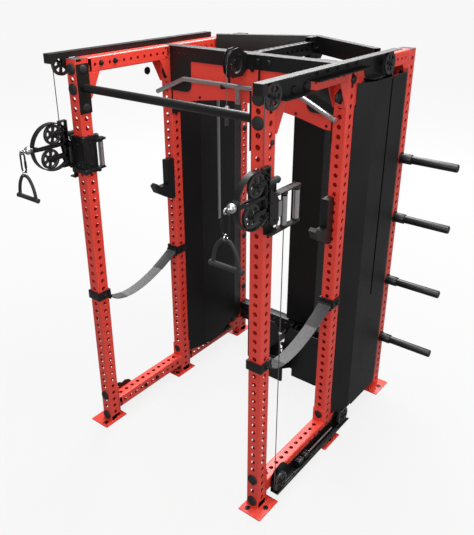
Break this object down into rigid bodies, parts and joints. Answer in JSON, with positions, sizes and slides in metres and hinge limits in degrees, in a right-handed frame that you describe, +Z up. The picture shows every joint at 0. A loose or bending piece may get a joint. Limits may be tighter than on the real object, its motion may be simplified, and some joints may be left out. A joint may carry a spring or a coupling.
{
  "type": "power rack with cable columns",
  "caption": "Six-post power rack with adjustable cable pulleys on both sides, an overhead lat pulldown, a low row station, safety straps, bar cups and plate pegs.",
  "frame": {"origin": "middle of the rack's footprint box, on the floor", "axes": "+X to the right of a person who faces into the rack from its open front, +Y from the front to the back, +Z up"},
  "size_m": [1.936, 1.808, 2.326],
  "materials": {
    "red_frame": "semi-gloss red powder coat",
    "black_frame": "satin black powder coat",
    "black_sheet": "matt black powder coat on sheet steel",
    "pulley": "black anodised",
    "bright_steel": "satin",
    "cable": "stranded wire in a clear coat",
    "weight_plates": "matt black paint",
    "webbing": "woven grey webbing with black end sleeves",
    "handle_rubber": "matt"
  },
  "bodies": {
    "frame": {"post_front_left": "red_frame", "post_mid_left": "red_frame", "post_rear_left": "red_frame", "post_front_right": "red_frame", "post_mid_right": "red_frame", "post_rear_right": "red_frame", "beam_top_front_left": "red_frame", "beam_bottom_front_left": "red_frame", "beam_top_rear_left": "red_frame", "beam_bottom_rear_left": "red_frame", "beam_top_front_right": "red_frame", "beam_bottom_front_right": "red_frame", "beam_top_rear_right": "red_frame", "beam_bottom_rear_right": "red_frame", "mid_crossmember": "black_frame", "header_plate": "red_frame", "pull_up_bar": "black_frame", "overhead_frame": "black_frame", "top_cable_arm_left": "black_frame", "bottom_cable_arm_left": "black_frame", "top_cable_arm_right": "black_frame", "bottom_cable_arm_right": "black_frame", "stack_shroud_left": "black_sheet", "stack_shroud_right": "black_sheet", "centre_column": "black_sheet", "low_row_station": "black_frame", "safety_strap_left": "webbing", "safety_strap_right": "webbing", "cable_left": "cable", "cable_right": "cable"},
    "stack_left": {"weight_stack_left": "weight_plates"},
    "trolley_left": {"trolley_left": "black_frame"},
    "lever_left": {"release_lever_left": "bright_steel"},
    "head_left": {"swivel_head_left": "black_frame"},
    "head_upper_wheel_left": {"head_upper_pulley_left": "pulley"},
    "head_lower_wheel_left": {"head_lower_pulley_left": "pulley"},
    "pull_left": {"cable_stop_left": "bright_steel"},
    "handle_left": {"handle_left": "handle_rubber"},
    "top_front_wheel_left": {"top_front_pulley_left": "pulley"},
    "top_rear_wheel_left": {"top_rear_pulley_left": "pulley"},
    "bottom_front_wheel_left": {"bottom_front_pulley_left": "pulley"},
    "bottom_rear_wheel_left": {"bottom_rear_pulley_left": "pulley"},
    "j_cup_left": {"j_cup_left": "black_frame"},
    "stack_right": {"weight_stack_right": "weight_plates"},
    "trolley_right": {"trolley_right": "black_frame"},
    "lever_right": {"release_lever_right": "bright_steel"},
    "head_right": {"swivel_head_right": "black_frame"},
    "head_upper_wheel_right": {"head_upper_pulley_right": "pulley"},
    "head_lower_wheel_right": {"head_lower_pulley_right": "pulley"},
    "pull_right": {"cable_stop_right": "bright_steel"},
    "handle_right": {"handle_right": "handle_rubber"},
    "top_front_wheel_right": {"top_front_pulley_right": "pulley"},
    "top_rear_wheel_right": {"top_rear_pulley_right": "pulley"},
    "bottom_front_wheel_right": {"bottom_front_pulley_right": "pulley"},
    "bottom_rear_wheel_right": {"bottom_rear_pulley_right": "pulley"},
    "j_cup_right": {"j_cup_right": "black_frame"},
    "centre_stack": {"centre_weight_stack": "weight_plates"},
    "lat_cable": {"lat_cable_end": "cable"},
    "lat_wheel": {"lat_pulley": "pulley"},
    "lat_bar": {"lat_bar": "bright_steel"}
  },
  "joints": [
    {"name": "stack_lift_left", "type": "slide", "parent": "frame", "child": "stack_left", "axis": [0, 0, 1], "range_m": [0, 0.9]},
    {"name": "trolley_slide_left", "type": "slide", "parent": "frame", "child": "trolley_left", "axis": [0, 0, 1], "range_m": [-0.6604, 0.1016], "deforming": ["cable_left"]},
    {"name": "lever_squeeze_left", "type": "slide", "parent": "trolley_left", "child": "lever_left", "axis": [0, 1, 0], "range_m": [0, 0.012], "stiffness_N_per_m": 500, "springref_m": -0.004},
    {"name": "head_swivel_left", "type": "hinge", "parent": "trolley_left", "child": "head_left", "pos_m": [-0.655, -0.64255, 1.84], "axis": [0, 0, 1], "range_deg": [-90, 90]},
    {"name": "head_upper_spin_left", "type": "hinge", "parent": "head_left", "child": "head_upper_wheel_left", "pos_m": [-0.655, -0.69275, 1.9112], "axis": [1, 0, 0], "continuous": true},
    {"name": "head_lower_spin_left", "type": "hinge", "parent": "head_left", "child": "head_lower_wheel_left", "pos_m": [-0.655, -0.72455, 1.787], "axis": [1, 0, 0], "continuous": true},
    {"name": "handle_pull_left", "type": "slide", "parent": "head_left", "child": "pull_left", "axis": [0, -1, 0], "range_m": [0, 1.8]},
    {"name": "handle_swing_left", "type": "hinge", "parent": "pull_left", "child": "handle_left", "pos_m": [-0.655, -0.88955, 1.8605], "axis": [1, 0, 0], "range_deg": [-80, 15]},
    {"name": "top_front_spin_left", "type": "hinge", "parent": "frame", "child": "top_front_wheel_left", "pos_m": [-0.655, -0.58985, 2.255], "axis": [1, 0, 0], "continuous": true},
    {"name": "top_rear_spin_left", "type": "hinge", "parent": "frame", "child": "top_rear_wheel_left", "pos_m": [-0.655, 0.45645, 2.255], "axis": [1, 0, 0], "continuous": true},
    {"name": "bottom_front_spin_left", "type": "hinge", "parent": "frame", "child": "bottom_front_wheel_left", "pos_m": [-0.655, -0.42355, 0.108], "axis": [1, 0, 0], "continuous": true},
    {"name": "bottom_rear_spin_left", "type": "hinge", "parent": "frame", "child": "bottom_rear_wheel_left", "pos_m": [-0.655, 0.27645, 0.108], "axis": [1, 0, 0], "continuous": true},
    {"name": "j_cup_turn_left", "type": "hinge", "parent": "frame", "child": "j_cup_left", "pos_m": [-0.567, 0.06945, 1.59], "axis": [0, -1, 0], "range_deg": [0, 90]},
    {"name": "stack_lift_right", "type": "slide", "parent": "frame", "child": "stack_right", "axis": [0, 0, 1], "range_m": [0, 0.9]},
    {"name": "trolley_slide_right", "type": "slide", "parent": "frame", "child": "trolley_right", "axis": [0, 0, 1], "range_m": [-0.6604, 0.1016], "deforming": ["cable_right"]},
    {"name": "lever_squeeze_right", "type": "slide", "parent": "trolley_right", "child": "lever_right", "axis": [0, 1, 0], "range_m": [0, 0.012], "stiffness_N_per_m": 500, "springref_m": -0.004},
    {"name": "head_swivel_right", "type": "hinge", "parent": "trolley_right", "child": "head_right", "pos_m": [0.655, -0.64255, 1.84], "axis": [0, 0, 1], "range_deg": [-90, 90]},
    {"name": "head_upper_spin_right", "type": "hinge", "parent": "head_right", "child": "head_upper_wheel_right", "pos_m": [0.655, -0.69275, 1.9112], "axis": [1, 0, 0], "continuous": true},
    {"name": "head_lower_spin_right", "type": "hinge", "parent": "head_right", "child": "head_lower_wheel_right", "pos_m": [0.655, -0.72455, 1.787], "axis": [1, 0, 0], "continuous": true},
    {"name": "handle_pull_right", "type": "slide", "parent": "head_right", "child": "pull_right", "axis": [0, -1, 0], "range_m": [0, 1.8]},
    {"name": "handle_swing_right", "type": "hinge", "parent": "pull_right", "child": "handle_right", "pos_m": [0.655, -0.88955, 1.8605], "axis": [1, 0, 0], "range_deg": [-80, 15]},
    {"name": "top_front_spin_right", "type": "hinge", "parent": "frame", "child": "top_front_wheel_right", "pos_m": [0.655, -0.58985, 2.255], "axis": [1, 0, 0], "continuous": true},
    {"name": "top_rear_spin_right", "type": "hinge", "parent": "frame", "child": "top_rear_wheel_right", "pos_m": [0.655, 0.45645, 2.255], "axis": [1, 0, 0], "continuous": true},
    {"name": "bottom_front_spin_right", "type": "hinge", "parent": "frame", "child": "bottom_front_wheel_right", "pos_m": [0.655, -0.42355, 0.108], "axis": [1, 0, 0], "continuous": true},
    {"name": "bottom_rear_spin_right", "type": "hinge", "parent": "frame", "child": "bottom_rear_wheel_right", "pos_m": [0.655, 0.27645, 0.108], "axis": [1, 0, 0], "continuous": true},
    {"name": "j_cup_turn_right", "type": "hinge", "parent": "frame", "child": "j_cup_right", "pos_m": [0.567, 0.06945, 1.59], "axis": [0, 1, 0], "range_deg": [0, 90]},
    {"name": "centre_stack_lift", "type": "slide", "parent": "frame", "child": "centre_stack", "axis": [0, 0, 1], "range_m": [0, 1.1]},
    {"name": "lat_pull", "type": "slide", "parent": "frame", "child": "lat_cable", "axis": [0, 0, -1], "range_m": [0, 1.1]},
    {"name": "lat_spin", "type": "hinge", "parent": "frame", "child": "lat_wheel", "pos_m": [0, 0.00645, 2.25], "axis": [1, 0, 0], "continuous": true},
    {"name": "lat_bar_lift", "type": "slide", "parent": "frame", "child": "lat_bar", "axis": [0, 0, 1], "range_m": [0, 0.02]}
  ],
  "couplings": [
    {"joint": "head_upper_spin_left", "follows": "stack_lift_left", "rad_per_m": -39.841},
    {"joint": "head_lower_spin_left", "follows": "stack_lift_left", "rad_per_m": 39.841},
    {"joint": "handle_pull_left", "follows": "stack_lift_left", "ratio": 2},
    {"joint": "top_front_spin_left", "follows": "stack_lift_left", "rad_per_m": 37.951},
    {"joint": "top_rear_spin_left", "follows": "stack_lift_left", "rad_per_m": 37.951},
    {"joint": "bottom_front_spin_left", "follows": "trolley_slide_left", "rad_per_m": -18.975},
    {"joint": "bottom_rear_spin_left", "follows": "trolley_slide_left", "rad_per_m": -18.975},
    {"joint": "head_upper_spin_right", "follows": "stack_lift_right", "rad_per_m": -39.841},
    {"joint": "head_lower_spin_right", "follows": "stack_lift_right", "rad_per_m": 39.841},
    {"joint": "handle_pull_right", "follows": "stack_lift_right", "ratio": 2},
    {"joint": "top_front_spin_right", "follows": "stack_lift_right", "rad_per_m": 37.951},
    {"joint": "top_rear_spin_right", "follows": "stack_lift_right", "rad_per_m": 37.951},
    {"joint": "bottom_front_spin_right", "follows": "trolley_slide_right", "rad_per_m": -18.975},
    {"joint": "bottom_rear_spin_right", "follows": "trolley_slide_right", "rad_per_m": -18.975},
    {"joint": "lat_pull", "follows": "centre_stack_lift", "ratio": 1},
    {"joint": "lat_spin", "follows": "centre_stack_lift", "rad_per_m": 15.456}
  ]
}
